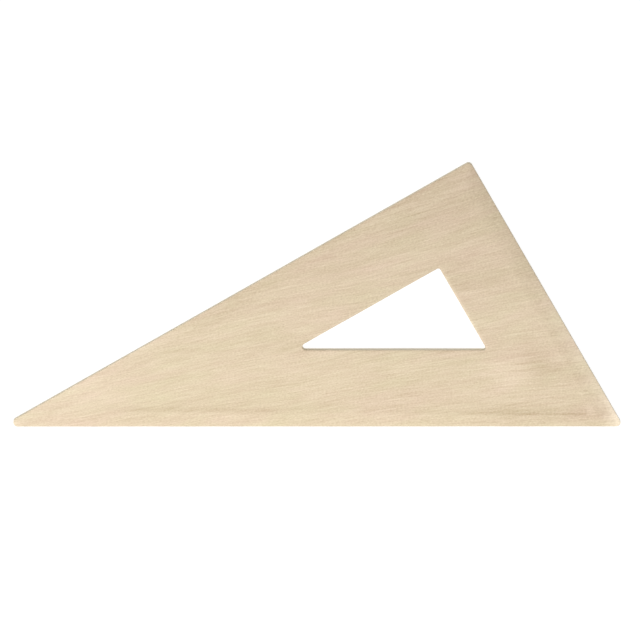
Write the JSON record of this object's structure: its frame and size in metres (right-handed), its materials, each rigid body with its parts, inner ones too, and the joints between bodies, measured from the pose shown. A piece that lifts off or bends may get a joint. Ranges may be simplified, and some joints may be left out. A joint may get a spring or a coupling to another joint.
{
  "type": "set square",
  "caption": "Flat 30-60-90 wooden set square with a triangular window and bevelled ruling edges, for drawing and checking angles.",
  "frame": {"origin": "middle of the plate's bounding box, on the back face that it lies on", "axes": "+X along the hypotenuse from the 30 degree corner to the 60 degree corner, +Y from the hypotenuse towards the right angle, +Z out of the bevelled front face"},
  "size_m": [0.2928, 0.1292, 0.005],
  "materials": {
    "face_veneer": "sanded, unvarnished",
    "core_veneer": "sawn cross grain",
    "glue": "cured wood glue"
  },
  "bodies": {
    "root": {"front_face_veneer": "face_veneer", "front_glue_line": "glue", "core_veneer": "core_veneer", "back_glue_line": "glue", "back_face_veneer": "face_veneer"}
  },
  "joints": []
}
